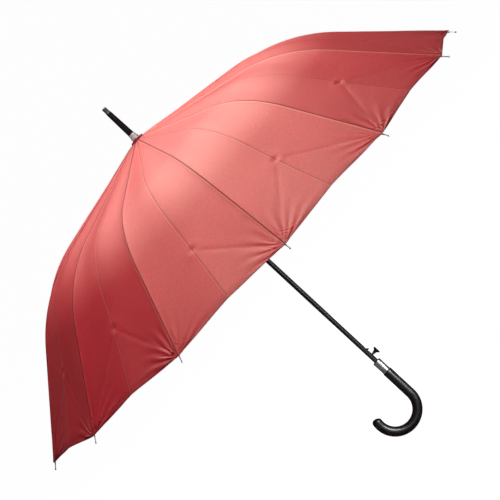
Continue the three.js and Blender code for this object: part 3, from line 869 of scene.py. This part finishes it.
def crook_handle():
    """One rod, round in section, bent over at its foot, bored for the shaft and with a domed end."""
    low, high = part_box("crook_handle")
    bend_z = low.z + GRIP_R + CROOK_R
    x, y = (1, 0, 0), (0, 1, 0)

    def upright(z, radius):
        return (0, 0, z), x, y, radius

    def bent(turn, radius):
        centre = (-CROOK_R + CROOK_R * math.cos(turn), 0, bend_z - CROOK_R * math.sin(turn))
        return centre, (math.cos(turn), 0, -math.sin(turn)), y, radius

    # up the bore, over its mouth, and down the outside
    rings = [upright(BORE_FOOT, SHAFT_BORE * 0.4), upright(BORE_FOOT, SHAFT_BORE)]
    rings += [upright(high.z, SHAFT_BORE), upright(high.z, GRIP_R - MOUTH_ROUND)]
    for a in np.linspace(0.25, 1, 4) * math.pi / 2:
        drop = MOUTH_ROUND * (1 - math.cos(a))
        rings.append(upright(high.z - drop, GRIP_R - MOUTH_ROUND * (1 - math.sin(a))))
    mouth = high.z - MOUTH_ROUND
    rings += [upright(mouth + (bend_z - mouth) * t, GRIP_R) for t in np.linspace(0.1, 0.95, 9)]
    dome_turn = GRIP_R * DOME / CROOK_R
    dome_start = CROOK_SWEEP - dome_turn
    rings += [bent(a, GRIP_R) for a in np.linspace(0, dome_start, 72)]
    for a in np.linspace(0.1, 0.97, 10) * math.pi / 2:
        rings.append(bent(dome_start + dome_turn * math.sin(a), GRIP_R * math.cos(a) ** 0.8))
    obj = swept("crook_grip", rings, MOULDED)
    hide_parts("crook_handle")
    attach(obj, "frame")


SPRING_WIRE = 0.7 * MM            # radius
SPRING_TURNS = 9
RINGS_PER_TURN = 28


def opening_spring():
    """The wire coil between the runner and the spring hub, with its two end turns closed up."""
    low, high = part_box("opening_spring")
    wire = SPRING_WIRE
    mean = high.x - wire
    turns = SPRING_TURNS
    count = turns * RINGS_PER_TURN
    rings = []
    for i in range(count + 1):
        t = i / count
        a = 2 * math.pi * turns * t
        eased = smooth((t * turns - 0.6) / (turns - 1.2))
        even = np.clip((t * turns - 0.8) / (turns - 1.6), 0, 1)
        share = 0.3 * eased + 0.7 * even
        z = low.z + wire + (high.z - low.z - 2 * wire) * float(share)
        centre = (mean * math.cos(a), mean * math.sin(a), z)
        rings.append((centre, (math.cos(a), math.sin(a), 0), (0, 0, 1), wire))
    obj = swept("opening_spring_coil", rings, ZINC, 10)
    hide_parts("opening_spring")
    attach(obj, "runner")
    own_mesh(obj)


# ---------------------------------------------------------------- finishes for the CAD nodes that stay
HARD_EDGE = 32                    # degrees


def smooth_cad(node, material):
    """A CAD node shown as it is, with its own finish and smooth round faces."""
    obj = NODES[node]
    finish_with(obj, material)
    obj.data.shade_smooth()
    sharpen(obj, HARD_EDGE)


def cad_finishes():
    smooth_cad("shaft", ENAMEL)
    for node, material in (("crown", MOULDED), ("runner", MOULDED), ("spring_hub", MOULDED),
                           ("upper_stop", ZINC), ("crown_wire", ZINC), ("catch_spring", CATCH)):
        smooth_cad(node, material)
    for node in NODES:
        if node.startswith(("rib_inner_", "rib_outer_")):
            smooth_cad(node, BLACK_STEEL)
        if node.startswith(("stretcher_", "strut_")):
            smooth_cad(node, ZINC)


TIP_SINK = 2.4 * MM               # from the fabric's outer face to the tip's axis


def rib_tips():
    """The end of each rib in plain metal: the cup that holds the corner, a bare pin and a small ball."""
    outline = [(0, -6.0), (1.25, -6.0), (1.55, -5.0), (1.55, 0.8), (1.15, 1.6), (1.05, 3.0), (0.95, 11.2),
               (1.25, 11.7), (1.65, 12.6), (1.7, 13.3), (1.35, 14.4), (0.6, 14.95), (0, 15.0)]
    corner = Vector((CANOPY_R, 0, float(profile(CANOPY_R)[0])))
    start = corner - Vector((math.sin(SKIRT_SLOPE), 0, math.cos(SKIRT_SLOPE))) * TIP_SINK
    down_the_rib = Matrix.Rotation(math.pi / 2 + SKIRT_SLOPE, 4, "Y")
    for rib in range(RIBS):
        number = f"{rib + 1:02d}"
        obj = lathe(f"rib_tip_{number}", rounded(outline, 0.2, 2), GREY_TIP, 24)
        place = Matrix.Rotation(rib * SECTOR, 4, "Z") @ Matrix.Translation(start)
        obj.data.transform(place @ down_the_rib)
        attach(obj, f"rib_outer_{number}")


closure_strap()
shaft_furniture()
rosette_disc()
release_button()
crook_handle()
opening_spring()
cad_finishes()
rib_tips()


# ---------------------------------------------------------------- floor, light and camera
ELEVATION = math.radians(4.4)
AZIMUTH = math.radians(4.47)
ROLL = math.radians(47.2)
DISTANCE = 15.0
FIELD = 0.9798                    # width of the picture at the object, in metres
AIM = Vector((0, 0, -0.410))
SHIFT_LEFT = 0.0131               # of the camera in the picture's plane, in metres
SHIFT_UP = 0.0008
SENSOR = 36.0
FILL = 0.02                       # light from all round
SEEN_WHITE = 0.97                 # brightness of the floor to the camera
FLOOR_HALF = 400.0
FLOOR_GAP = 0.004                 # under the lowest point of the object
LAMP_TARGET = Vector((0, 0, -0.30))
STRIP_TARGET = Vector((0, 0, -0.70))
STRIP_POWER = 58.0

# name; metres to the right of, above and in front of the target, as the camera sees it; size; power;
# whether the lamp shows in glossy reflections
LAMPS = (
    ("above_behind", -0.6, 1.4, -0.8, 0.9, 7.0, True),
    ("far_left", -1.3, 0.9, -0.9, 0.9, 5.0, True),
    ("beside_crown", -0.7, 0.7, -0.2, 0.9, 1.5, True),
    ("crown_left", -0.7, 0.7, 0.3, 0.9, 2.0, True),
    ("front_crown", -0.5, 0.5, 0.4, 0.9, 1.0, True),
    ("over_front", -0.3, 0.7, 0.2, 0.9, 2.0, True),
    ("front_left", -1.0, 0.9, 1.5, 1.2, 12.0, False),
    ("front_low", 0.8, -0.4, 1.5, 1.2, 10.0, False),
    ("front_soft", 0.9, -0.2, 1.8, 1.6, 5.0, True),
    ("far_side", 1.0, 0.6, -2.6, 2.4, 14.0, False),
)
STRIP_LIT = ("shaft", "ferrule_skirt", "handle_ferrule", "crook_grip", "release_button_cap",
             "catch_spring", "rib_tip")

look = Vector((math.sin(AZIMUTH) * math.cos(ELEVATION), math.cos(AZIMUTH) * math.cos(ELEVATION),
               -math.sin(ELEVATION)))
level = Vector((math.cos(AZIMUTH), -math.sin(AZIMUTH), 0))
rise = level.cross(look)
picture_right = math.cos(ROLL) * level - math.sin(ROLL) * rise
picture_up = math.sin(ROLL) * level + math.cos(ROLL) * rise


def camera():
    """Far off with a long lens, and rolled so that the umbrella lies at a slant in the picture."""
    data = bpy.data.cameras.new("camera")
    data.sensor_width = SENSOR
    data.lens = SENSOR * DISTANCE / FIELD
    data.clip_start = 0.1
    data.clip_end = 200.0
    obj = bpy.data.objects.new("camera", data)
    bpy.context.scene.collection.objects.link(obj)
    centre = AIM - picture_right * SHIFT_LEFT + picture_up * SHIFT_UP - look * DISTANCE
    turn = Matrix((picture_right, picture_up, -look)).transposed().to_4x4()
    obj.matrix_world = Matrix.Translation(centre) @ turn
    bpy.context.scene.camera = obj


def area_light(name, right, up, back, size, power, mirrored):
    """A soft round light that faces its target and is not seen itself. LAMPS says what the numbers are."""
    data = bpy.data.lights.new(name, "AREA")
    data.shape = "DISK"
    data.size = size
    data.energy = power
    obj = bpy.data.objects.new(name, data)
    bpy.context.scene.collection.objects.link(obj)
    away = picture_right * right + picture_up * up - look * back
    facing = away.to_track_quat("Z", "Y").to_matrix().to_4x4()
    obj.matrix_world = Matrix.Translation(LAMP_TARGET + away) @ facing
    obj.visible_camera = False
    obj.visible_glossy = mirrored


def strip_light():
    """A long narrow softbox nearly parallel to the shaft, for the bright line down the black parts.

    It shows only in reflections, and only in those of the parts that STRIP_LIT names.
    """
    data = bpy.data.lights.new("strip", "AREA")
    data.shape = "RECTANGLE"
    data.size = 1.5
    data.size_y = 0.45
    data.energy = STRIP_POWER
    obj = bpy.data.objects.new("strip", data)
    bpy.context.scene.collection.objects.link(obj)
    shaft = Vector((0, 0, -1))
    beside = picture_right * 0.69 + picture_up * 0.72
    place = STRIP_TARGET + beside * 0.95 - look * 1.05 + shaft * 0.10
    facing = (place - STRIP_TARGET).normalized()
    along = (shaft - facing * shaft.dot(facing)).normalized()
    turn = Matrix((along, facing.cross(along), facing)).transposed().to_4x4()
    obj.matrix_world = Matrix.Translation(place) @ turn
    obj.visible_camera = False
    obj.visible_diffuse = False
    lit = bpy.data.collections.new("parts_the_strip_lights")
    for piece in bpy.context.scene.objects:
        if piece.type == "MESH" and piece.name.startswith(STRIP_LIT):
            lit.objects.link(piece)
    obj.light_linking.receiver_collection = lit


def two_faced(tree, seen, lighting, strength):
    """One strength to the camera and another, for lighting, to every other ray."""
    path = tree.nodes.new("ShaderNodeLightPath")
    mix = tree.nodes.new("ShaderNodeMix")
    mix.data_type = "FLOAT"
    tree.links.new(path.outputs["Is Camera Ray"], mix.inputs[0])
    mix.inputs[2].default_value = lighting
    mix.inputs[3].default_value = seen
    tree.links.new(mix.outputs[0], strength)


def world():
    """White behind the object, and a little light from all round."""
    made = bpy.data.worlds.new("studio")
    made.use_nodes = True
    background = made.node_tree.nodes["Background"]
    background.inputs["Color"].default_value = (1, 1, 1, 1)
    two_faced(made.node_tree, 1.0, FILL, background.inputs["Strength"])
    bpy.context.scene.world = made


def floor():
    """A plain pale floor just under the object, clear when it is seen from below."""
    size = FLOOR_HALF
    low = min(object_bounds()[0].z, CAD_BOX[0].z) - FLOOR_GAP
    points = [(-size, -size, low), (size, -size, low), (size, size, low), (-size, size, low)]
    material = bpy.data.materials.new("pale_floor")
    material.use_nodes = True
    tree = material.node_tree
    surface = tree.nodes["Principled BSDF"]
    surface.inputs["Base Color"].default_value = (0.8, 0.8, 0.8, 1)
    surface.inputs["Roughness"].default_value = 0.8
    surface.inputs["Specular IOR Level"].default_value = 0.0
    surface.inputs["Emission Color"].default_value = (1, 1, 1, 1)
    two_faced(tree, SEEN_WHITE, 0.0, surface.inputs["Emission Strength"])
    side = tree.nodes.new("ShaderNodeNewGeometry")
    clear = tree.nodes.new("ShaderNodeBsdfTransparent")
    mix = tree.nodes.new("ShaderNodeMixShader")
    tree.links.new(side.outputs["Backfacing"], mix.inputs[0])
    tree.links.new(surface.outputs[0], mix.inputs[1])
    tree.links.new(clear.outputs[0], mix.inputs[2])
    tree.links.new(mix.outputs[0], tree.nodes["Material Output"].inputs["Surface"])
    mesh_object("floor", points, [(0, 1, 2, 3)], material, smooth=False)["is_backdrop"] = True


camera()
world()
floor()
strip_light()
for lamp in LAMPS:
    area_light(*lamp)
bpy.context.scene.view_settings.view_transform = "Standard"
